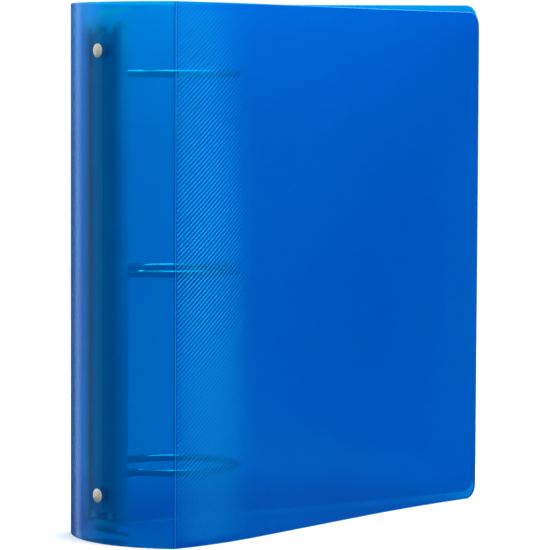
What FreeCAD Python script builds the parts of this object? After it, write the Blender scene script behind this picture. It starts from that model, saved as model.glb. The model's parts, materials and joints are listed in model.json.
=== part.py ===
"""Ring binder: a translucent plastic cover on two living hinges round a three-ring mechanism.

Row frame: +Z up, +Y from the spine towards the fore-edge, +X towards the front cover.
The origin is the centre of the box's bottom. Inside this file a point is first placed at
(x, depth), where depth is counted from the spine's outermost line, and is moved at the end.
"""
import FreeCAD
import Part
import math
import os

V = FreeCAD.Vector
X_AXIS = V(1, 0, 0)
Y_AXIS = V(0, 1, 0)
Z_AXIS = V(0, 0, 1)

# ---- cover sheet -------------------------------------------------------------
HEIGHT = 292.1              # 11 1/2 in tall cover
SHEET_T = 1.4               # polypropylene sheet
SPINE_R = 64.0              # outer face of the rounded spine
SPINE_HALF_DEG = 43.5       # the spine's arc each side of its middle
CREASE_DEG = 40.7           # turn from the spine into a cover at a living hinge
FRONT_LEN = 272.5           # crease to fore-edge along the outer face
BACK_LEN = 276.0            # a little more, so that both fore-edges end level when it leans over
BOW_R = 210.0               # a cover bows over the rings,
FRONT_BOW_LEN = 60.0        # over this length,
BACK_BOW_LEN = 77.1         # and the back one further, so that it leans on the front one,
FLARE_R = 770.0             # then both flatten back over
FLARE_LEN = 109.0           # this length at the fore-edge
CORNER_R = 8.0              # rounded fore-edge corners
HINGE_GAP = 1.0             # from a hinge axis to each panel's edge
HINGE_WEB_R = 0.35          # thin web left in the scored groove
HINGE_WEB_INSET = 0.4       # its centre, in from the outer face
HINGE_WEB_END = 0.5         # the web stops short of the sheet's top and bottom

# ---- ring housing ------------------------------------------------------------
RING_PITCH = 107.95         # 4 1/4 in between rings
MID_Z = HEIGHT / 2
HOUSING_HALF_LEN = 135.65
HOUSING_HALF_W = 14.8
HOUSING_T = 1.0
HOUSING_FOOT = 3.4          # depth of the lips' underside
HOUSING_SHOULDER = 9.2      # depth where the wall meets the crown
HOUSING_CROWN = 14.0        # depth of the crown's top
SHOULDER_R = 1.5
LIP_R = 1.6                 # the walls curl into the lips
LIP_EDGE = 11.8             # half of the mouth between the lips
SLOT_IN = 7.8               # each ring slot, from this x
SLOT_OUT = 13.3             # to this x
SLOT_HALF_H = 2.5
SLOT_DEPTH = 6.8            # the slot starts at this depth

# ---- hinge plates ------------------------------------------------------------
PLATE_T = 1.0
PIVOT_X = 13.0              # line on which a plate rocks in the housing
PIVOT_DEPTH = 6.0
PLATE_W = 12.7
PLATE_REST_DEG = 6.1        # closed: the inner edges sit towards the spine
PLATE_HALF_LEN = 129.85
POST_NOTCH_R = 4.4

# ---- rings -------------------------------------------------------------------
WIRE_R = 2.0
RING_R = 34.5               # centre line of the ring
RING_DEPTH = 55.0           # centre of the ring
LEG_X = 10.2                # the legs come up through the crown here
LEG_BEND_R = 5.0
LEG_FOOT_DEPTH = 4.7
LEG_HEAD_R = 2.5            # upset head under the plate
LEG_HEAD_T = 0.5
TIP_GAP = 0.15              # each tip's distance from the middle plane
TONGUE_R = 0.9
TONGUE_LEN = 1.6
SOCKET_CLEARANCE = 0.35

# ---- trigger levers ----------------------------------------------------------
PIN_R = 1.0
PIN_FROM_MID = 132.15       # pin's distance from the housing's middle
PIN_DEPTH = 6.0
PIN_RUNNING = 0.05
KNUCKLE_R = 1.9
KNUCKLE_IN = 4.5
KNUCKLE_OUT = 9.5
NOSE_REACH = 2.9            # the nose reaches under the plates
NOSE_TOP = -1.7             # its top and bottom, from the pin's depth
NOSE_BOTTOM = -2.9
NOSE_OUT = 9.0
LEVER_T = 1.2
LEVER_HALF_W = 9.0
LEVER_ARM = 4.5
TAB_BEND_R = 4.5
TAB_RISE = 3.0
TAB_LIP_R = 2.0             # the thumb tab rolls back at its end
TAB_CORNER_R = 4.0

# ---- rivets ------------------------------------------------------------------
RIVET_FROM_MID = 120.05
RIVET_SHANK_R = 2.0
RIVET_CLEARANCE = 0.1
RIVET_HEAD_R = 3.75
RIVET_HEAD_H = 1.2
CLENCH_R = 3.1
CLENCH_H = 0.9
POST_R = 3.2

FRONT_SHEET = (FRONT_LEN, FRONT_BOW_LEN)
BACK_SHEET = (BACK_LEN, BACK_BOW_LEN)
SIDES = (("front", 1, FRONT_SHEET), ("back", -1, BACK_SHEET))
ENDS = {"top": 1, "bottom": -1}
RING_ROWS = {"top": 1, "middle": 0, "bottom": -1}


def on_side(shape, side):
    """Return a shape made on the front side, mirrored where the back one is wanted."""
    return shape if side > 0 else shape.mirror(V(0, 0, 0), X_AXIS)


def at_end(shape, end):
    """Return a shape made at the top end, mirrored about mid-height for the bottom one."""
    return shape if end > 0 else shape.mirror(V(0, 0, MID_Z), Z_AXIS)


def cap(radius, height):
    """Radius of the sphere whose cap has this base radius and height."""
    return (radius ** 2 + height ** 2) / (2 * height)


def prism(edges, low, high):
    """Extrude a closed outline, drawn at z = 0, from low to high."""
    face = Part.Face(Part.Wire(Part.__sortEdges__(edges)))
    face.translate(V(0, 0, low))
    return face.extrude(V(0, 0, high - low))


# ---- cover sheet -------------------------------------------------------------
def spine_station(angle_deg, inset=0.0):
    """Point of the spine at an angle from its middle, inset from the outer face."""
    angle = math.radians(angle_deg)
    radius = SPINE_R - inset
    return V(radius * math.sin(angle), SPINE_R - radius * math.cos(angle), 0)


def cover_runs(sheet):
    """A cover's outline as (length, curvature), positive curving inwards."""
    cover_len, bow_len = sheet
    straight = cover_len - bow_len - FLARE_LEN
    return ((bow_len, 1 / BOW_R), (straight, 0.0), (FLARE_LEN, -1 / FLARE_R))


def cover_station(sheet, along, inset=0.0):
    """Point of a cover, drawn on the front side, at a length from its crease."""
    point = spine_station(SPINE_HALF_DEG)
    heading = math.radians(90 - SPINE_HALF_DEG - CREASE_DEG)
    left = along
    for length, curve in cover_runs(sheet):
        step = min(left, length)
        turn = curve * step
        chord = step if curve == 0 else 2 * math.sin(turn / 2) / curve
        point = point + V(math.sin(heading - turn / 2), math.cos(heading - turn / 2), 0) * chord
        heading -= turn
        left -= step
        if left <= 0:
            break
    return point + V(-math.cos(heading), math.sin(heading), 0) * inset


def cover_tip(sheet):
    """Middle of the sheet's thickness at the fore-edge."""
    return cover_station(sheet, sheet[0], SHEET_T / 2)


def cover_edges(sheet):
    """Closed outline of a cover's section."""
    edges = []
    for inset in (0.0, SHEET_T):
        start, end = HINGE_GAP, 0.0
        for length, curve in cover_runs(sheet):
            end += length
            first, last = cover_station(sheet, start, inset), cover_station(sheet, end, inset)
            middle = cover_station(sheet, (start + end) / 2, inset)
            run = Part.LineSegment(first, last) if curve == 0 else Part.Arc(first, middle, last)
            edges.append(run.toShape())
            start = end
    for along in (HINGE_GAP, sheet[0]):
        rim = Part.LineSegment(cover_station(sheet, along), cover_station(sheet, along, SHEET_T))
        edges.append(rim.toShape())
    return edges


def cover_panel(sheet):
    """A cover, on the front side: a bowed sheet with rounded fore-edge corners."""
    panel = prism(cover_edges(sheet), 0, HEIGHT)
    tip = cover_tip(sheet)
    corners = []
    for edge in panel.Edges:
        middle = edge.CenterOfMass
        if math.hypot(middle.x - tip.x, middle.y - tip.y) < SHEET_T / 4 and edge.Length < 2 * SHEET_T:
            corners.append(edge)
    return panel.makeFillet(CORNER_R, corners)


def spine_panel():
    """Rounded spine with the two rivet holes."""
    half = SPINE_HALF_DEG - math.degrees(HINGE_GAP / SPINE_R)
    edges = []
    for inset in (0.0, SHEET_T):
        points = [spine_station(angle, inset) for angle in (-half, 0, half)]
        edges.append(Part.Arc(*points).toShape())
    for angle in (-half, half):
        edges.append(Part.LineSegment(spine_station(angle), spine_station(angle, SHEET_T)).toShape())
    return prism(edges, 0, HEIGHT).cut(rivet_holes(-1, HOUSING_FOOT))


def living_hinge():
    """Thin web of the front crease."""
    centre = spine_station(SPINE_HALF_DEG)
    toward = cover_station(FRONT_SHEET, HINGE_GAP, HINGE_WEB_INSET) - cover_station(FRONT_SHEET, HINGE_GAP)
    base = centre + toward + V(0, 0, HINGE_WEB_END)
    return Part.makeCylinder(HINGE_WEB_R, HEIGHT - 2 * HINGE_WEB_END, base, Z_AXIS)


# ---- rivets and their posts --------------------------------------------------
def rivet_holes(low, high):
    """Both rivet holes as cutters between two depths."""
    length = high - low
    radius = RIVET_SHANK_R + RIVET_CLEARANCE
    upper = Part.makeCylinder(radius, length, V(0, low, MID_Z + RIVET_FROM_MID), Y_AXIS)
    return upper.fuse(at_end(upper, -1))


def crown_radius():
    """Radius of the crown's outer face."""
    return cap(HOUSING_HALF_W, HOUSING_CROWN - HOUSING_SHOULDER)


def rivet():
    """Domed head outside the spine, shank, and a clenched head on the crown."""
    z = MID_Z + RIVET_FROM_MID
    dome_r = cap(RIVET_HEAD_R, RIVET_HEAD_H)
    dome = Part.makeSphere(dome_r, V(0, dome_r - RIVET_HEAD_H, z))
    rim = Part.makeCylinder(RIVET_HEAD_R, RIVET_HEAD_H + 1, V(0, -RIVET_HEAD_H, z), Y_AXIS)
    backing = Part.makeCylinder(SPINE_R, 4 * RIVET_HEAD_R, V(0, SPINE_R, z - 2 * RIVET_HEAD_R), Z_AXIS)
    head = dome.common(rim).cut(backing)
    clench_r = cap(CLENCH_R, CLENCH_H)
    bulge = Part.makeSphere(clench_r, V(0, HOUSING_CROWN + CLENCH_H - clench_r, z))
    ring = Part.makeCylinder(CLENCH_R, CLENCH_H + 1, V(0, HOUSING_CROWN - 1, z), Y_AXIS)
    radius = crown_radius()
    crown = Part.makeCylinder(radius, 4 * CLENCH_R, V(0, HOUSING_CROWN - radius, z - 2 * CLENCH_R), Z_AXIS)
    clench = bulge.common(ring).cut(crown)
    shank = Part.makeCylinder(RIVET_SHANK_R, HOUSING_CROWN + CLENCH_H / 2, V(0, 0, z), Y_AXIS)
    return head.fuse(shank).fuse(clench).removeSplitter()


def rivet_post():
    """Sleeve that holds the crown off the spine round a rivet."""
    z = MID_Z + RIVET_FROM_MID
    length = HOUSING_CROWN - HOUSING_T
    post = Part.makeCylinder(POST_R, length, V(0, 0, z), Y_AXIS)
    bore = Part.makeCylinder(RIVET_SHANK_R + RIVET_CLEARANCE, length, V(0, 0, z), Y_AXIS)
    above_spine = Part.makeCylinder(SPINE_R - SHEET_T, 4 * POST_R, V(0, SPINE_R, z - 2 * POST_R), Z_AXIS)
    below_crown = Part.makeCylinder(crown_radius() - HOUSING_T, 4 * POST_R,
                                    V(0, HOUSING_CROWN - crown_radius(), z - 2 * POST_R), Z_AXIS)
    return post.cut(bore).common(above_spine).common(below_crown)


# ---- ring housing ------------------------------------------------------------
def channel_body(inset):
    """Solid under the crown, shrunk by inset on every side."""
    half_w = HOUSING_HALF_W - inset
    foot = HOUSING_FOOT + inset
    radius = crown_radius() - inset
    centre = HOUSING_CROWN - crown_radius()
    shoulder = centre + math.sqrt(radius ** 2 - half_w ** 2)
    corners = [V(half_w, foot, 0), V(half_w, shoulder, 0), V(-half_w, shoulder, 0), V(-half_w, foot, 0)]
    edges = [Part.LineSegment(corners[0], corners[1]).toShape(),
             Part.Arc(corners[1], V(0, centre + radius, 0), corners[2]).toShape(),
             Part.LineSegment(corners[2], corners[3]).toShape(),
             Part.LineSegment(corners[3], corners[0]).toShape()]
    body = prism(edges, MID_Z - HOUSING_HALF_LEN, MID_Z + HOUSING_HALF_LEN)
    for depth, rounding in ((shoulder, SHOULDER_R - inset / 2), (foot, LIP_R - inset)):
        corner_lines = [edge for edge in body.Edges
                        if abs(edge.CenterOfMass.y - depth) < 0.01 and edge.Length > HOUSING_HALF_LEN]
        body = body.makeFillet(rounding, corner_lines)
    return body


def ring_housing():
    """Pressed steel channel with ring slots, rivet holes and pin holes."""
    housing = channel_body(0.0).cut(channel_body(HOUSING_T))
    full = 2 * HOUSING_HALF_LEN
    mouth = Part.makeBox(2 * LIP_EDGE, 2 * HOUSING_T, full,
                         V(-LIP_EDGE, HOUSING_FOOT - HOUSING_T / 2, MID_Z - HOUSING_HALF_LEN))
    housing = housing.cut(mouth)
    for row in RING_ROWS.values():
        low_z = MID_Z + row * RING_PITCH - SLOT_HALF_H
        slot = Part.makeBox(SLOT_OUT - SLOT_IN, HOUSING_CROWN, 2 * SLOT_HALF_H, V(SLOT_IN, SLOT_DEPTH, low_z))
        housing = housing.cut(slot).cut(on_side(slot, -1))
    for end in ENDS.values():
        housing = housing.cut(at_end(lever_pin(), end))
    return housing.cut(rivet_holes(HOUSING_SHOULDER, HOUSING_CROWN + 1))


# ---- rings and hinge plates --------------------------------------------------
def half_ring(row, tongue):
    """Front half of one ring: leg, bend and half circle, with a tongue or a socket at its tip."""
    bend_x = LEG_X + LEG_BEND_R
    reach = RING_R + LEG_BEND_R
    bend = V(bend_x, RING_DEPTH - math.sqrt(reach ** 2 - bend_x ** 2), 0)
    centre = V(0, RING_DEPTH, 0)
    foot = V(LEG_X, LEG_FOOT_DEPTH, 0)
    knee = V(LEG_X, bend.y, 0)
    meet = centre + (bend - centre) * (RING_R / reach)
    half_way = (knee - bend + meet - bend).normalize() * LEG_BEND_R + bend
    tip_angle = math.asin(TIP_GAP / RING_R)
    tip = V(TIP_GAP, RING_DEPTH + RING_R * math.cos(tip_angle), 0)
    edges = [Part.LineSegment(foot, knee).toShape(),
             Part.Arc(knee, half_way, meet).toShape(),
             Part.Arc(meet, centre + V(RING_R, 0, 0), tip).toShape()]
    section = Part.Wire(Part.Circle(foot, Y_AXIS, WIRE_R).toShape())
    ring = Part.Wire(edges).makePipeShell([section], True, False)
    head = Part.makeCylinder(LEG_HEAD_R, LEG_HEAD_T, foot, Y_AXIS)
    ring = ring.fuse(head)
    if tongue:
        root = tip + V(TONGUE_LEN, 0, 0)
        ring = ring.fuse(Part.makeCylinder(TONGUE_R, 2 * TONGUE_LEN, root, V(-1, 0, 0)))
    else:
        start = V(0, tip.y, 0)
        radius = TONGUE_R + SOCKET_CLEARANCE
        ring = ring.cut(Part.makeCylinder(radius, TONGUE_LEN + SOCKET_CLEARANCE, start, X_AXIS))
    ring.translate(V(0, 0, MID_Z + row * RING_PITCH))
    return ring.removeSplitter()


def hinge_plate(rings):
    """Front hinge plate: rocks on its outer edge, with its three half rings set into it."""
    low_z = MID_Z - PLATE_HALF_LEN
    length = 2 * PLATE_HALF_LEN
    slab = Part.makeBox(PLATE_W, PLATE_T, length, V(PIVOT_X - PLATE_W, PIVOT_DEPTH - PLATE_T / 2, low_z))
    roll = Part.makeCylinder(PLATE_T / 2, length, V(PIVOT_X, PIVOT_DEPTH, low_z), Z_AXIS)
    plate = slab.fuse(roll)
    plate.rotate(V(PIVOT_X, PIVOT_DEPTH, 0), Z_AXIS, PLATE_REST_DEG)
    for end in ENDS.values():
        axis_base = V(0, 0, MID_Z + end * RIVET_FROM_MID)
        plate = plate.cut(Part.makeCylinder(POST_NOTCH_R, HOUSING_CROWN, axis_base, Y_AXIS))
    for ring in rings:
        plate = plate.cut(ring)
    return plate


# ---- trigger levers ----------------------------------------------------------
def lever_pin():
    """Pin of the top lever, held in the housing's walls."""
    base = V(-HOUSING_HALF_W, PIN_DEPTH, MID_Z + PIN_FROM_MID)
    return Part.makeCylinder(PIN_R, 2 * HOUSING_HALF_W, base, X_AXIS)


def lever_strip():
    """Arm and thumb tab of the top lever as one bent strip, drawn about the pin."""
    outer_x = LEVER_ARM + TAB_BEND_R
    rise = TAB_BEND_R + TAB_RISE
    edges = []
    for offset in (-LEVER_T / 2, LEVER_T / 2):
        bend = TAB_BEND_R + offset
        lip = TAB_LIP_R - offset
        cos45 = math.sqrt(0.5)
        a = V(0, -offset, 0)
        b = V(LEVER_ARM, -offset, 0)
        c = V(LEVER_ARM + bend * cos45, TAB_BEND_R - bend * cos45, 0)
        d = V(outer_x + offset, TAB_BEND_R, 0)
        e = V(outer_x + offset, rise, 0)
        f = V(outer_x + TAB_LIP_R - lip * cos45, rise + lip * cos45, 0)
        g = V(outer_x + TAB_LIP_R, rise + lip, 0)
        edges += [Part.LineSegment(a, b).toShape(), Part.Arc(b, c, d).toShape(),
                  Part.LineSegment(d, e).toShape(), Part.Arc(e, f, g).toShape()]
    edges.append(Part.LineSegment(V(0, LEVER_T / 2, 0), V(0, -LEVER_T / 2, 0)).toShape())
    top = rise + TAB_LIP_R
    edges.append(Part.LineSegment(V(outer_x + TAB_LIP_R, top + LEVER_T / 2, 0),
                                  V(outer_x + TAB_LIP_R, top - LEVER_T / 2, 0)).toShape())
    return prism(edges, -LEVER_HALF_W, LEVER_HALF_W)


def trigger_lever():
    """Top lever: knuckles on the pin, noses under the plates, arm and thumb tab."""
    bore_r = PIN_R + PIN_RUNNING
    strip = lever_strip()
    corner = V(-KNUCKLE_R, -2 * LEVER_T, -KNUCKLE_IN)
    window = Part.makeBox(2 * KNUCKLE_R, 4 * LEVER_T, 2 * KNUCKLE_IN, corner)
    lever = strip.cut(window)
    knuckle_w = KNUCKLE_OUT - KNUCKLE_IN
    for low in (KNUCKLE_IN, -KNUCKLE_OUT):
        knuckle = Part.makeCylinder(KNUCKLE_R, knuckle_w, V(0, 0, low), Z_AXIS)
        nose = Part.makeBox(NOSE_REACH, NOSE_TOP - NOSE_BOTTOM, NOSE_OUT - KNUCKLE_IN - PIN_RUNNING,
                            V(-NOSE_REACH, NOSE_BOTTOM, KNUCKLE_IN if low > 0 else -NOSE_OUT))
        root = Part.makeBox(KNUCKLE_R, -NOSE_BOTTOM, knuckle_w, V(0, NOSE_BOTTOM, low))
        heel = root.common(Part.makeCylinder(-NOSE_BOTTOM, knuckle_w, V(0, 0, low), Z_AXIS))
        lever = lever.fuse([knuckle, nose, heel])
    lever = lever.cut(Part.makeCylinder(bore_r, 4 * LEVER_HALF_W, V(0, 0, -2 * LEVER_HALF_W), Z_AXIS))
    lever = lever.removeSplitter()
    lever.rotate(V(0, 0, 0), Y_AXIS, -90)
    lever.translate(V(0, PIN_DEPTH, MID_Z + PIN_FROM_MID))
    return lever


def fit_to_frame(shape):
    """Move a shape from spine-line depth to the row frame."""
    far = max(cover_station(sheet, sheet[0], inset).y
              for sheet in (FRONT_SHEET, BACK_SHEET) for inset in (0.0, SHEET_T))
    shape.translate(V(0, (RIVET_HEAD_H - far) / 2, 0))
    return shape


def build():
    """Return every node's solid by name."""
    nodes = {}
    nodes["spine_panel"] = spine_panel()
    nodes["ring_housing"] = ring_housing()
    for name, side, sheet in SIDES:
        nodes[name + "_cover"] = on_side(cover_panel(sheet), side)
        nodes[name + "_living_hinge"] = on_side(living_hinge(), side)
        rings = []
        for row_name, row in RING_ROWS.items():
            ring = half_ring(row, side > 0)
            rings.append(ring)
            nodes[name + "_half_ring_" + row_name] = on_side(ring, side)
        nodes[name + "_hinge_plate"] = on_side(hinge_plate(rings), side)
    for name, end in ENDS.items():
        nodes[name + "_trigger_lever"] = at_end(trigger_lever(), end)
        nodes[name + "_lever_pin"] = at_end(lever_pin(), end)
        nodes[name + "_rivet"] = at_end(rivet(), end)
        nodes[name + "_rivet_post"] = at_end(rivet_post(), end)
    return {name: fit_to_frame(shape.copy()) for name, shape in nodes.items()}


def main():
    os.makedirs("parts", exist_ok=True)
    for name, shape in build().items():
        box = shape.BoundBox
        print("%-26s solids %d valid %s volume %9.1f  x %.2f..%.2f  y %.2f..%.2f  z %.2f..%.2f" % (
            name, len(shape.Solids), shape.isValid(), shape.Volume,
            box.XMin, box.XMax, box.YMin, box.YMax, box.ZMin, box.ZMax))
        shape.exportStep(os.path.join("parts", name + ".step"))


main()
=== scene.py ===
import bpy
import bmesh
import json
import math
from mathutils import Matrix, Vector, noise


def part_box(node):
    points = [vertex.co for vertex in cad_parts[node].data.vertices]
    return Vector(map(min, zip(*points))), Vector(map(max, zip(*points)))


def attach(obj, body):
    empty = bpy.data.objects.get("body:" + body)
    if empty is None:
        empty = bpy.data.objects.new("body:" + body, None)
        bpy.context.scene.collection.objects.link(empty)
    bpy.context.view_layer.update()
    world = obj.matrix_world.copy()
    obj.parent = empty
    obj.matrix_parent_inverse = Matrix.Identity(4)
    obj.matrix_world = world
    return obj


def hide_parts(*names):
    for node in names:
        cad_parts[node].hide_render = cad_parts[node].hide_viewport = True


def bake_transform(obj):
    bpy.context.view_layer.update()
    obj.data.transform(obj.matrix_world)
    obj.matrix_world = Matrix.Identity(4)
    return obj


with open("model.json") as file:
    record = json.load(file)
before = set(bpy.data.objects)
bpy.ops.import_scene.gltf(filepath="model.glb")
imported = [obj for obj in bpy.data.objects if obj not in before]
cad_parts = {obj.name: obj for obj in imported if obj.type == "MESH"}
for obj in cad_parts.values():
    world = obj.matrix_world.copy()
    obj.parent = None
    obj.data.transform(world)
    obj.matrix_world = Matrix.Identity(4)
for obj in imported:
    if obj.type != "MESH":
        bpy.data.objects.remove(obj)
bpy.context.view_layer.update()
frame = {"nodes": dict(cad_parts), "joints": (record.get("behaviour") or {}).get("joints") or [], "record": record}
JOINTS = {joint["name"]: joint for joint in frame["joints"]}
MM = 0.001

# ---- sizes of the sheet, in metres --------------------------------------------
SPINE_LOW, SPINE_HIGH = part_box("spine_panel")
CREASE = Vector(JOINTS["front_cover_hinge"]["pos_m"])
APEX_Y = SPINE_LOW.y
HEIGHT = SPINE_HIGH.z
SPINE_SAG = CREASE.y - APEX_Y
SPINE_R = (CREASE.x ** 2 + SPINE_SAG ** 2) / (2 * SPINE_SAG)
SPINE_HALF = math.asin(CREASE.x / SPINE_R)
SHEET_T = 1.4 * MM
CREASE_TURN = math.radians(40.7)
FRONT_SHEET = (272.5 * MM, 60.0 * MM)      # crease to fore-edge, and how much of it bows
BACK_SHEET = (276.0 * MM, 77.1 * MM)
BOW_R = 210.0 * MM
FLARE_R, FLARE_LEN = 770.0 * MM, 109.0 * MM
CORNER_R = 8.0 * MM
HINGE_GAP = 1.0 * MM        # half the width of a crease strip
RIM_R = 0.4 * MM
BACK_LIFT = 4.2 * MM        # the back cover's free edge stands a little higher
SIDES = {"front": (1, FRONT_SHEET), "back": (-1, BACK_SHEET)}

# ---- the sheet's waviness, score lines and ribs ----------------------------------
WAVE = 0.12 * MM            # a moulded sheet is never quite flat
WAVE_APART = 3.1            # keeps the waves of the two covers different
WAVE_ALONG, WAVE_UP = 9.0, 7.0
WAVE_GROWS = 0.2            # share of the cover over which the waves grow from the crease
SCORE_OUTSIDE, SCORE_INSIDE = 0.2, 0.35    # depth of the score in shares of the sheet
SCORE_POWER = 6             # the higher, the narrower the score
SCORE_STRIPE = (6, 7, 8, 9)                # columns of a crease strip that are stretched pale
RIB_ALONG = 3.03 * MM       # spacing of the slanting ribs along the sheet
RIB_UP = 2.57 * MM          # and up it
COVER_RIB, SPINE_RIB = 0.20 * MM, 0.03 * MM

# ---- how finely the sheets are divided --------------------------------------------
ROWS = 61
BOW_STEPS, FLAT_STEPS, CORNER_STEPS = 24, 48, 10
SPINE_COLUMNS, CREASE_COLUMNS = 49, 17
RIM_SEGMENTS = 3
SMOOTH_BELOW = math.radians(35.0)
OUTER_LOOK, EDGE_LOOK, INNER_LOOK, STRIPE_LOOK = range(4)

# ---- colours and finish -------------------------------------------------------------
WHITE = (1, 1, 1, 1)
BODY_BLUE = (0.0, 0.095, 0.77, 1.0)
GLOW_BLUE = (0.0, 0.36, 0.92, 1.0)
TINT_BLUE = (0.0, 0.42, 0.80, 1.0)
# the spine's colours are a lighter copy of the cover sheet's blue, though spine and covers are one sheet: painted
# light on the spine
SPINE_BODY_PAINTED_LIGHT = (0.0, 0.15, 0.88, 1.0)
SPINE_GLOW_PAINTED_LIGHT = (0.0, 0.52, 1.0, 1.0)
SPINE_TINT_PAINTED_LIGHT = (0.0, 0.62, 0.88, 1.0)
INNER_TINT = (0.8, 0.96, 1.0, 1)
EDGE_BLUE = (0.08, 0.50, 0.80, 1.0)
EDGE_GLOW = (0.05, 0.6, 0.95, 1)
CREASE_BODY = (0.06, 0.50, 1.0, 1)
CREASE_GLOW = (0.06, 0.7, 1.0, 1)
CREASE_TINT = (0.02, 0.5, 0.9, 1)
GLOSS_HEAD_ON = (0.02, 0.90, 1.0, 1.0)
GLOSS_GRAZING = (0.80, 0.95, 1.0, 1.0)
COVER_SHINE, INNER_SHINE = 0.11, 0.015
SPINE_PALING = (0.30, 0.60)
PIGMENT_DARK, TINT_DEEP, TINT_SHALLOW, METAL_DARK = 0.90, 0.93, 1.05, 0.82
PIGMENT_SPREAD, NOISE_SPREAD = (0.35, 0.65), (0.3, 0.7)
GLOSS_ROUGH = (0.20, 0.25)
EDGE_ON_POWER = 5.0         # how suddenly gloss rises towards grazing view
SHEET_CLOUD = {"Scale": 14.0, "Detail": 3.0, "Roughness": 0.5}
SHEET_SPECK = {"Scale": 1800.0, "Detail": 2.0, "Roughness": 0.6}
METAL_STREAK = {"Scale": 1900.0, "Detail": 2.0, "Roughness": 0.5}
METAL_CLOUD = {"Scale": 60.0, "Detail": 3.0, "Roughness": 0.55}
SHEET_GRAIN, METAL_GRAIN = 0.25, 0.12
GRAIN_DEPTH = 0.01 * MM
GRAIN_UP = (1, 1, 0.03)     # noise squeezed on one axis draws streaks along it

# ---- stage ----------------------------------------------------------------------------
FLOOR_R, SWEEP_R, FAR_R = 0.32, 2.0, 14.0
RING_SIDES = 96
PATCH_R, PATCH_CENTRE, PATCH_Z = 0.15, (0.10, 0.04), -0.2 * MM
FLOOR_WHITES = (0.95, 0.955, 0.96, 1), (0.97, 0.97, 0.97, 1)
# painted shadow colour of the binder on the table, shown where the table is seen through the sheet
PAINTED_FLOOR_SHADE = (0.1, 0.28, 0.6, 1)
FLOOR_CLOUD, SWEEP_CLOUD = {"Scale": 3.0, "Detail": 2.0}, {"Scale": 0.5}
SHADE_FADE, RIM_FADE = (0.05, 0.7), (0.0, 0.35)
RIM_LIGHT = 1.35
SEEN_LIGHT = 1.05
MIRRORED_TINT, MIRRORED_LIGHT = (0.8, 0.95, 1, 1), 0.045
HORIZON = (-0.15, 0.25)     # the light rises between these heights of its direction
LIGHT_BELOW, LIGHT_ABOVE = 0.10, 1.1
CENTRE = Vector((0, 0, HEIGHT / 2))
TOP = Vector((0, 0, HEIGHT))

# ---- view -----------------------------------------------------------------------------
VIEW_AZIMUTH = math.radians(47.06)
VIEW_PITCH = math.radians(3.56)
VIEW_ROLL = math.radians(-0.24)
VIEW_DISTANCE = 1605.9 * MM      # along the view, from the spine's middle line
VIEW_ASIDE = 95.2 * MM           # the spine's middle line stands this far left of the view
VIEW_HEIGHT = 245.8 * MM
LENS_MM, SENSOR_MM = 195.66, 36.0
NEAR_CLIP = 0.05


def spine_station(along, inset=0.0):
    """Point of the spine at a length from its middle, inset from the outer face."""
    angle = along / SPINE_R
    radius = SPINE_R - inset
    return Vector((radius * math.sin(angle), APEX_Y + SPINE_R - radius * math.cos(angle), 0))


def cover_station(sheet, along, inset=0.0):
    """Point of a cover, drawn on the front side, at a length from its crease."""
    cover_len, bow_len = sheet
    point = spine_station(SPINE_R * SPINE_HALF)
    heading = math.pi / 2 - SPINE_HALF - CREASE_TURN
    left = along
    straight = cover_len - bow_len - FLARE_LEN
    for length, curve in ((bow_len, 1 / BOW_R), (straight, 0.0), (FLARE_LEN, -1 / FLARE_R)):
        step = min(left, length)
        turn = curve * step
        chord = step if curve == 0 else 2 * math.sin(turn / 2) / curve
        middle = heading - turn / 2
        point = point + Vector((math.sin(middle), math.cos(middle), 0)) * chord
        heading -= turn
        left -= step
        if left <= 0:
            break
    return point + Vector((-math.cos(heading), math.sin(heading), 0)) * inset


# ---- node helpers, for a material or the world -------------------------------------
def new_material(name):
    material = bpy.data.materials.new(name)
    material.use_nodes = True
    material.node_tree.nodes.clear()
    return material


def add_node(owner, kind, **values):
    """Add a node; values are socket names (spaces as _) or node settings."""
    made = owner.node_tree.nodes.new(kind)
    for key, value in values.items():
        socket = made.inputs.get(key.replace("_", " "))
        if socket is None:
            setattr(made, key, value)
        else:
            socket.default_value = value
    return made


def join(owner, source, target):
    owner.node_tree.links.new(source, target)


def feed(owner, value, target):
    """Set a socket to a number, or link another socket to it."""
    if isinstance(value, (int, float)):
        target.default_value = value
    else:
        join(owner, value, target)


def maths(owner, operation, first, second=None):
    """A Math node fed by sockets or numbers; returns its output."""
    made = add_node(owner, "ShaderNodeMath", operation=operation)
    feed(owner, first, made.inputs[0])
    if second is not None:
        feed(owner, second, made.inputs[1])
    return made.outputs[0]


def map_range(owner, source, low, high, to_low, to_high):
    made = add_node(owner, "ShaderNodeMapRange")
    join(owner, source, made.inputs["Value"])
    for name, value in (("From Min", low), ("From Max", high), ("To Min", to_low), ("To Max", to_high)):
        made.inputs[name].default_value = value
    return made.outputs[0]


def colours_in(sockets):
    return [socket for socket in sockets if socket.type == "RGBA"]


def colour_mix(owner, factor, first, second):
    """Mix two fixed colours by a socket."""
    made = add_node(owner, "ShaderNodeMix", data_type="RGBA")
    join(owner, factor, made.inputs["Factor"])
    for socket, colour in zip(colours_in(made.inputs), (first, second)):
        socket.default_value = colour
    return colours_in(made.outputs)[0]


def colour_product(owner, first, second):
    """Multiply two colour sockets."""
    made = add_node(owner, "ShaderNodeMix", data_type="RGBA", blend_type="MULTIPLY")
    made.inputs["Factor"].default_value = 1.0
    for socket, colour in zip(colours_in(made.inputs), (first, second)):
        join(owner, colour, socket)
    return colours_in(made.outputs)[0]


def noise_over(owner, vector, settings):
    made = add_node(owner, "ShaderNodeTexNoise", **settings)
    join(owner, vector, made.inputs["Vector"])
    return made.outputs[0]


def spot_over(owner, vector, radius):
    """1 above the origin, falling to 0 at a radius in the ground plane."""
    reach = add_node(owner, "ShaderNodeMapping", Scale=(1 / radius, 1 / radius, 1.0))
    join(owner, vector, reach.inputs["Vector"])
    spot = add_node(owner, "ShaderNodeTexGradient", gradient_type="SPHERICAL")
    join(owner, reach.outputs[0], spot.inputs["Vector"])
    return spot.outputs["Fac"]


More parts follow.
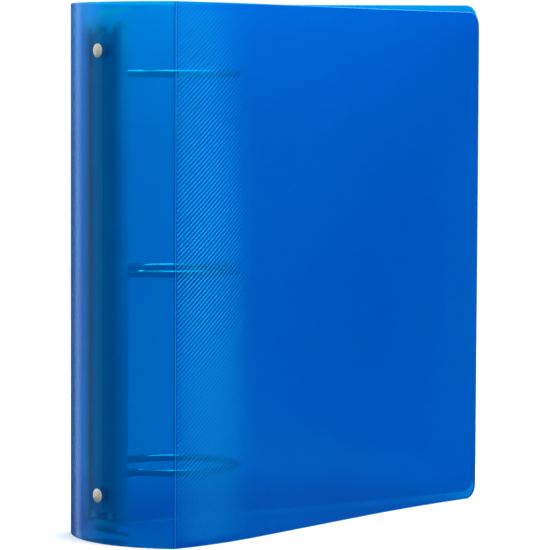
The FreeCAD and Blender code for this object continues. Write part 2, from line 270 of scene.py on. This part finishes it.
def bump_over(owner, height, strength, distance, normal=None):
    made = add_node(owner, "ShaderNodeBump", Strength=strength, Distance=distance)
    join(owner, height, made.inputs["Height"])
    if normal is not None:
        join(owner, normal, made.inputs["Normal"])
    return made.outputs[0]


def shader_mix(owner, factor, first, second):
    """Mix two shader nodes by a number or a socket."""
    made = add_node(owner, "ShaderNodeMixShader")
    feed(owner, factor, made.inputs[0])
    join(owner, first.outputs[0], made.inputs[1])
    join(owner, second.outputs[0], made.inputs[2])
    return made


def surface(owner, shader, kind="ShaderNodeOutputMaterial"):
    output = add_node(owner, kind)
    join(owner, shader.outputs[0], output.inputs["Surface"])
    return owner


def scaled(colour, factor):
    """A colour made darker or brighter, never above 1."""
    return tuple(min(1.0, factor * value) for value in colour[:3]) + (1.0,)


# ---- materials -----------------------------------------------------------------
def rib_height(material):
    """Fine slanting ribs from the sheet's own (along, up) coordinates, from 0 to 1."""
    coords = add_node(material, "ShaderNodeUVMap", uv_map="sheet")
    split = add_node(material, "ShaderNodeSeparateXYZ")
    join(material, coords.outputs[0], split.inputs[0])
    along = maths(material, "MULTIPLY", split.outputs[0], 2 * math.pi / RIB_ALONG)
    up = maths(material, "MULTIPLY", split.outputs[1], 2 * math.pi / RIB_UP)
    wave = maths(material, "SINE", maths(material, "SUBTRACT", along, up))
    return map_range(material, wave, -1.0, 1.0, 0.0, 1.0)


def translucent_sheet(name, body, glow, tint, ribs, glow_share, clear, shine=0.04, paling=(0.6, 0.85)):
    """Coloured polypropylene: pigment, light let through, a share seen straight through, gloss."""
    material = new_material(name)
    place = add_node(material, "ShaderNodeTexCoord").outputs["Object"]
    cloud = noise_over(material, place, SHEET_CLOUD)
    speck = noise_over(material, place, SHEET_SPECK)
    uneven = map_range(material, cloud, *PIGMENT_SPREAD, 0.0, 1.0)
    pigment = colour_mix(material, uneven, scaled(body, PIGMENT_DARK), body)
    normal = bump_over(material, speck, SHEET_GRAIN, GRAIN_DEPTH)
    thickness = cloud
    if ribs:
        thickness = rib_height(material)
        normal = bump_over(material, thickness, 1.0, ribs, normal)
    stain = colour_mix(material, thickness, scaled(tint, TINT_SHALLOW), scaled(tint, TINT_DEEP))
    solid = add_node(material, "ShaderNodeBsdfDiffuse")
    join(material, pigment, solid.inputs["Color"])
    join(material, normal, solid.inputs["Normal"])
    through = add_node(material, "ShaderNodeBsdfTranslucent", Color=glow)
    join(material, normal, through.inputs["Normal"])
    soft = shader_mix(material, glow_share, solid, through)
    open_part = add_node(material, "ShaderNodeBsdfTransparent")
    join(material, stain, open_part.inputs["Color"])
    mixed = shader_mix(material, clear, soft, open_part)
    facing = add_node(material, "ShaderNodeLayerWeight", Blend=0.5)
    join(material, normal, facing.inputs["Normal"])
    grazing = map_range(material, facing.outputs["Facing"], *paling, 0.0, 1.0)
    gloss = add_node(material, "ShaderNodeBsdfGlossy")
    join(material, colour_mix(material, grazing, GLOSS_HEAD_ON, GLOSS_GRAZING), gloss.inputs["Color"])
    join(material, map_range(material, cloud, *NOISE_SPREAD, *GLOSS_ROUGH), gloss.inputs["Roughness"])
    join(material, normal, gloss.inputs["Normal"])
    edge_on = maths(material, "POWER", facing.outputs["Facing"], EDGE_ON_POWER)
    coated = map_range(material, edge_on, 0.0, 1.0, shine, 1.0)
    return surface(material, shader_mix(material, coated, mixed, gloss))


def plated_steel(name, colour, low_rough, high_rough, grain_along, metallic=1.0):
    """Plated or drawn steel with a directional grain and cloudy polish."""
    material = new_material(name)
    place = add_node(material, "ShaderNodeTexCoord").outputs["Object"]
    stretch = add_node(material, "ShaderNodeMapping", Scale=grain_along)
    join(material, place, stretch.inputs["Vector"])
    streaks = noise_over(material, stretch.outputs[0], METAL_STREAK)
    cloud = noise_over(material, place, METAL_CLOUD)
    uneven = map_range(material, cloud, *NOISE_SPREAD, 0.0, 1.0)
    metal = add_node(material, "ShaderNodeBsdfPrincipled", Metallic=metallic)
    tone = colour_mix(material, uneven, scaled(colour, METAL_DARK), colour)
    join(material, tone, metal.inputs["Base Color"])
    rough = map_range(material, streaks, *NOISE_SPREAD, low_rough, high_rough)
    join(material, rough, metal.inputs["Roughness"])
    join(material, bump_over(material, streaks, METAL_GRAIN, GRAIN_DEPTH), metal.inputs["Normal"])
    return surface(material, metal)


def floor_material():
    """Matt white table that glows at its rim. Where it is seen through the sheet, it is painted a deep blue shade
    in place of the binder's shadow.
    """
    material = new_material("pale_floor")
    place = add_node(material, "ShaderNodeTexCoord").outputs["Object"]
    tone = colour_mix(material, noise_over(material, place, FLOOR_CLOUD), *FLOOR_WHITES)
    spot = spot_over(material, place, FLOOR_R)
    near = map_range(material, spot, *SHADE_FADE, 0.0, 1.0)
    path = add_node(material, "ShaderNodeLightPath")
    through = maths(material, "MINIMUM", path.outputs["Transparent Depth"], 1.0)
    # painted shadow: near the binder, the table seen through the sheet is tinted deep blue
    shade = colour_mix(material, maths(material, "MULTIPLY", through, near), WHITE, PAINTED_FLOOR_SHADE)
    paint = add_node(material, "ShaderNodeBsdfDiffuse")
    join(material, colour_product(material, tone, shade), paint.inputs["Color"])
    rim = add_node(material, "ShaderNodeEmission", Strength=RIM_LIGHT)
    outwards = map_range(material, spot, *RIM_FADE, 1.0, 0.0)
    return surface(material, shader_mix(material, outwards, paint, rim))


def sweep_material(name, low, high, near=0.0):
    """Glowing ground, cloudy between two brightnesses, with a painted pool of light that makes it brighter towards
    the middle by near.
    """
    material = new_material(name)
    place = add_node(material, "ShaderNodeTexCoord").outputs["Object"]
    strength = map_range(material, noise_over(material, place, SWEEP_CLOUD), 0.0, 1.0, low, high)
    if near:
        # painted pool of light: the ground glows brighter towards the middle
        extra = maths(material, "MULTIPLY", spot_over(material, place, SWEEP_R), near)
        strength = maths(material, "ADD", strength, extra)
    light = add_node(material, "ShaderNodeEmission")
    join(material, strength, light.inputs["Strength"])
    return surface(material, light)


# ---- sheet meshes --------------------------------------------------------------
def finish_mesh(name, mesh, materials):
    """Link a mesh, shade its soft bends smooth, and give it its materials."""
    piece = bpy.data.objects.new(name, mesh)
    bpy.context.scene.collection.objects.link(piece)
    for material in materials:
        mesh.materials.append(material)
    mesh.shade_smooth()
    mesh.set_sharp_from_angle(angle=SMOOTH_BELOW)
    return piece


def closed_sheet(name, columns, place, along, materials, joined, stripe=()):
    """A closed sheet over a grid: place(column, row, inset) gives a point, along(column) its length.

    Joined columns run into the next sheet, so they stay square and take the inner face's look.
    Stripe columns take the stripe's look on the outer face.
    """
    mesh = bpy.data.meshes.new(name)
    form = bmesh.new()
    layers = []
    for inset in (0.0, SHEET_T):
        grid = []
        for column in range(columns):
            grid.append([form.verts.new(place(column, row, inset)) for row in range(ROWS)])
        layers.append(grid)
    outer, inner = layers
    for column in range(columns - 1):
        for row in range(ROWS - 1):
            cell = ((column, row), (column + 1, row), (column + 1, row + 1), (column, row + 1))
            outside = form.faces.new([outer[c][r] for c, r in cell])
            outside.material_index = STRIPE_LOOK if column in stripe else OUTER_LOOK
            inside = form.faces.new([inner[c][r] for c, r in reversed(cell)])
            inside.material_index = INNER_LOOK
    loop = [(column, 0) for column in range(columns)]
    loop += [(columns - 1, row) for row in range(1, ROWS)]
    loop += [(column, ROWS - 1) for column in range(columns - 2, -1, -1)]
    loop += [(0, row) for row in range(ROWS - 2, 0, -1)]
    for (c, r), (d, s) in zip(loop, loop[1:] + loop[:1]):
        face = form.faces.new((outer[d][s], outer[c][r], inner[c][r], inner[d][s]))
        face.material_index = INNER_LOOK if c == d and c in joined else EDGE_LOOK
    square = {vertex for grid in layers for column in joined for vertex in grid[column]}
    bmesh.ops.recalc_face_normals(form, faces=form.faces)
    sheet = form.loops.layers.uv.new("sheet")
    where = {}
    for grid in layers:
        for column, line in enumerate(grid):
            for vertex in line:
                where[vertex] = along(column)
    for face in form.faces:
        for corner in face.loops:
            corner[sheet].uv = (where[corner.vert], corner.vert.co.z)
    rim = []
    for edge in form.edges:
        looks = {face.material_index for face in edge.link_faces}
        if EDGE_LOOK in looks and len(looks) == 2 and not square.issuperset(edge.verts):
            rim.append(edge)
    bmesh.ops.bevel(form, geom=rim, offset=RIM_R, segments=RIM_SEGMENTS, profile=0.5, affect="EDGES",
                    material=EDGE_LOOK)
    form.to_mesh(mesh)
    form.free()
    return finish_mesh(name, mesh, materials)


def ripple(point, side):
    """Small smooth departure from the drawn surface."""
    spot = Vector((side * WAVE_APART, point.y * WAVE_ALONG, point.z * WAVE_UP))
    return WAVE * noise.noise(spot)


def cover_sheet(name, side, sheet, materials, lift):
    """One cover: rounded fore-edge corners, and a free edge that may stand a little high."""
    cover_len, bow_len = sheet
    flat_end = cover_len - CORNER_R
    lengths = [HINGE_GAP + (bow_len - HINGE_GAP) * k / BOW_STEPS for k in range(BOW_STEPS)]
    lengths += [bow_len + (flat_end - bow_len) * k / FLAT_STEPS for k in range(FLAT_STEPS)]
    for k in range(CORNER_STEPS + 1):
        lengths.append(flat_end + CORNER_R * math.sin(math.pi / 2 * k / CORNER_STEPS))

    def place(column, row, inset):
        length = lengths[column]
        into = max(0.0, length - flat_end)
        trim = CORNER_R - math.sqrt(max(0.0, CORNER_R ** 2 - into ** 2))
        z = trim + (HEIGHT - 2 * trim) * row / (ROWS - 1)
        point = cover_station(sheet, length, inset)
        free = min(1.0, length / (WAVE_GROWS * cover_len))
        point.x += ripple(Vector((0, point.y, z)), side) * free
        point.x *= side
        point.z = z + lift * length / cover_len
        return point

    def along(column):
        return side * (SPINE_R * SPINE_HALF + lengths[column])

    return closed_sheet(name, len(lengths), place, along, materials, (0,))


def spine_sheet(name, materials):
    """The rounded spine between the two creases."""
    half = SPINE_R * SPINE_HALF - HINGE_GAP
    lengths = [half * (2 * k / (SPINE_COLUMNS - 1) - 1) for k in range(SPINE_COLUMNS)]

    def place(column, row, inset):
        point = spine_station(lengths[column], inset)
        point.z = HEIGHT * row / (ROWS - 1)
        return point

    def along(column):
        return lengths[column]

    return closed_sheet(name, SPINE_COLUMNS, place, along, materials, (0, SPINE_COLUMNS - 1))


def crease_strip(name, side, sheet, materials):
    """The scored living hinge: thin in its middle, as thick as the sheet at both edges."""
    start = SPINE_R * SPINE_HALF
    offsets = [(2 * k / (CREASE_COLUMNS - 1) - 1) * HINGE_GAP for k in range(CREASE_COLUMNS)]

    def place(column, row, inset):
        offset = offsets[column]
        score = math.cos(math.pi / 2 * offset / HINGE_GAP) ** SCORE_POWER
        if inset > 0:
            depth = inset - score * SCORE_INSIDE * SHEET_T
        else:
            depth = score * SCORE_OUTSIDE * SHEET_T
        if offset < 0:
            flank = spine_station(start + offset, depth)
        elif offset == 0:
            flank = (spine_station(start, depth) + cover_station(sheet, 0.0, depth)) / 2
        else:
            flank = cover_station(sheet, offset, depth)
        flank.x *= side
        flank.z = HEIGHT * row / (ROWS - 1)
        return flank

    def along(column):
        return side * (start + offsets[column])

    return closed_sheet(name, CREASE_COLUMNS, place, along, materials, (0, CREASE_COLUMNS - 1), SCORE_STRIPE)


# ---- build ---------------------------------------------------------------------
sheet_blue = translucent_sheet("blue_sheet", BODY_BLUE, GLOW_BLUE, TINT_BLUE, COVER_RIB,
                               glow_share=0.5, clear=0.52, shine=COVER_SHINE)
# painted light: the spine takes the lighter copy of the sheet's blue
spine_blue_painted_light = translucent_sheet("blue_spine_painted_light", SPINE_BODY_PAINTED_LIGHT, SPINE_GLOW_PAINTED_LIGHT, SPINE_TINT_PAINTED_LIGHT, SPINE_RIB,
                               glow_share=0.5, clear=0.60, paling=SPINE_PALING)
inner_blue = translucent_sheet("blue_sheet_inside", BODY_BLUE, GLOW_BLUE, INNER_TINT, 0.0,
                               glow_share=0.5, clear=0.9, shine=INNER_SHINE)
edge_blue = translucent_sheet("cut_edge", EDGE_BLUE, EDGE_GLOW, TINT_BLUE, 0.0,
                              glow_share=0.6, clear=0.1)
crease_blue = translucent_sheet("stretched_crease", CREASE_BODY, CREASE_GLOW, CREASE_TINT, 0.0,
                                glow_share=0.5, clear=0.3)
SHEET_LOOKS = (sheet_blue, edge_blue, inner_blue)      # outer face, cut edge, inner face

front = cover_sheet("front_cover_sheet", 1, FRONT_SHEET, SHEET_LOOKS, 0.0)
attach(front, "front_cover_side")
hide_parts("front_cover")
back = cover_sheet("back_cover_sheet", -1, BACK_SHEET, SHEET_LOOKS, BACK_LIFT)
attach(back, "back_cover_side")
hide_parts("back_cover")
spine = spine_sheet("spine_sheet", (spine_blue_painted_light, edge_blue, inner_blue))
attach(spine, "case")
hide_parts("spine_panel")

for side_name, (side, sheet) in SIDES.items():
    strip = crease_strip(side_name + "_crease", side, sheet, SHEET_LOOKS + (crease_blue,))
    first = spine_station(SPINE_R * SPINE_HALF - HINGE_GAP)
    last = cover_station(sheet, HINGE_GAP)
    ends = [Vector((side * point.x, point.y, HEIGHT / 2)) for point in (first, last)]
    tuple(ends[0])
    tuple(ends[1])
    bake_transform(strip)
    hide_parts(side_name + "_living_hinge")

METALS = {
    "housing_steel": plated_steel("housing_nickel", (0.66, 0.66, 0.66, 1), 0.24, 0.31, GRAIN_UP, 0.45),
    "plate_steel": plated_steel("plate_steel", (0.60, 0.60, 0.61, 1), 0.28, 0.36, GRAIN_UP, 0.5),
    "lever_steel": plated_steel("lever_nickel", (0.86, 0.86, 0.85, 1), 0.14, 0.24, (0.1, 1, 1), 0.6),
    "pin_steel": plated_steel("pin_steel", (0.55, 0.55, 0.55, 1), 0.22, 0.34, (0.05, 1, 1)),
    "rivet_nickel": plated_steel("rivet_nickel", (0.95, 0.92, 0.84, 1), 0.22, 0.34, (1, 1, 1), 0.30),
    "post_steel": plated_steel("post_steel", (0.5, 0.5, 0.5, 1), 0.25, 0.4, (1, 0.05, 1)),
    "ring_nickel": plated_steel("ring_nickel", (0.50, 0.52, 0.56, 1), 0.12, 0.18, (1, 1, 1), 0.85),
}
SLOT_OF = {part["node"]: part["material_slot"] for part in frame["record"]["subparts"]}
for node_name, node in frame["nodes"].items():
    if SLOT_OF[node_name] in METALS:
        node.data.materials.clear()
        node.data.materials.append(METALS[SLOT_OF[node_name]])


# ---- table, light and camera ------------------------------------------------------
def flat_ring(name, inner, outer, centre=(0.0, 0.0), z=0.0):
    """Flat disc, or a flat ring where inner is above zero, on the ground."""
    mesh = bpy.data.meshes.new(name)
    count = RING_SIDES
    turns = [2 * math.pi * k / count for k in range(count)]
    points = [(outer * math.cos(t), outer * math.sin(t)) for t in turns]
    if inner > 0:
        points += [(inner * math.cos(t), inner * math.sin(t)) for t in turns]
        faces = [(k, (k + 1) % count, count + (k + 1) % count, count + k) for k in range(count)]
    else:
        faces = [tuple(range(count))]
    mesh.from_pydata([(x + centre[0], y + centre[1], z) for x, y in points], [], faces)
    piece = bpy.data.objects.new(name, mesh)
    bpy.context.scene.collection.objects.link(piece)
    return piece


table_top = flat_ring("floor", 0, FLOOR_R)
far_floor = flat_ring("far_floor", FLOOR_R, FAR_R)
mirrored_floor = flat_ring("mirrored_floor", 0, PATCH_R, PATCH_CENTRE, z=PATCH_Z)
table_top.visible_glossy = False
far_floor.visible_glossy = False
mirrored_floor.visible_camera = False
GROUNDS = (
    (table_top, floor_material()),
    (far_floor, sweep_material("glowing_sweep", 1.02, 1.08, near=0.36)),
    (mirrored_floor, sweep_material("mirrored_sweep", 0.22, 0.28)),
)
for ground, look in GROUNDS:
    ground.visible_diffuse = False
    ground.visible_transmission = False
    ground.data.materials.append(look)


def softbox(name, azimuth, elevation, distance, size, power, target, shape="RECTANGLE"):
    """Area light round the object; azimuth is counted from +X towards +Y."""
    light = bpy.data.lights.new(name, "AREA")
    light.shape = shape
    light.size, light.size_y = size
    light.energy = power
    lamp = bpy.data.objects.new(name, light)
    bpy.context.scene.collection.objects.link(lamp)
    a, e = math.radians(azimuth), math.radians(elevation)
    away = Vector((math.cos(a) * math.cos(e), math.sin(a) * math.cos(e), math.sin(e)))
    lamp.location = target + away * distance
    lamp.rotation_euler = away.to_track_quat("Z", "Y").to_euler()
    return lamp


softbox("right_softbox", 20, 15, 1.6, size=(0.8, 0.50), power=4.0, target=CENTRE, shape="ELLIPSE")
softbox("left_softbox", 187, 4, 1.6, size=(0.30, 1.4), power=1.6, target=CENTRE)
softbox("side_softbox", 217, 4, 1.6, size=(0.9, 1.4), power=2.6, target=CENTRE)
softbox("top_softbox", 0, 89, 0.28, size=(0.30, 0.30), power=2.2, target=TOP)
fill = softbox("fill_softbox", 10, 25, 1.5, size=(1.2, 1.2), power=14, target=CENTRE)
fill.visible_glossy = False


def studio_world():
    """White surroundings: full white behind the object, softer as light, dim in reflections."""
    world = bpy.data.worlds.new("studio")
    bpy.context.scene.world = world
    world.use_nodes = True
    world.node_tree.nodes.clear()
    path = add_node(world, "ShaderNodeLightPath")
    seen = add_node(world, "ShaderNodeBackground", Color=WHITE, Strength=SEEN_LIGHT)
    light = add_node(world, "ShaderNodeBackground", Color=WHITE)
    mirrored = add_node(world, "ShaderNodeBackground", Color=MIRRORED_TINT, Strength=MIRRORED_LIGHT)
    towards = add_node(world, "ShaderNodeTexCoord")
    split = add_node(world, "ShaderNodeSeparateXYZ")
    join(world, towards.outputs["Generated"], split.inputs[0])
    rising = map_range(world, split.outputs[2], *HORIZON, LIGHT_BELOW, LIGHT_ABOVE)
    join(world, rising, light.inputs["Strength"])
    lit = shader_mix(world, path.outputs["Is Glossy Ray"], light, mirrored)
    pick = shader_mix(world, path.outputs["Is Camera Ray"], lit, seen)
    return surface(world, pick, "ShaderNodeOutputWorld")


studio_world()

right = Vector((math.cos(VIEW_AZIMUTH), math.sin(VIEW_AZIMUTH), 0))
ahead = Vector((-math.sin(VIEW_AZIMUTH), math.cos(VIEW_AZIMUTH), 0))
lens = bpy.data.cameras.new("camera")
lens.lens = LENS_MM
lens.sensor_width = SENSOR_MM
lens.clip_start = NEAR_CLIP
camera = bpy.data.objects.new("camera", lens)
bpy.context.scene.collection.objects.link(camera)
camera.location = Vector((0, APEX_Y, VIEW_HEIGHT)) + right * VIEW_ASIDE - ahead * VIEW_DISTANCE
camera.rotation_euler = (math.pi / 2 - VIEW_PITCH, VIEW_ROLL, VIEW_AZIMUTH)
bpy.context.scene.camera = camera
bpy.context.scene.view_settings.view_transform = "Standard"
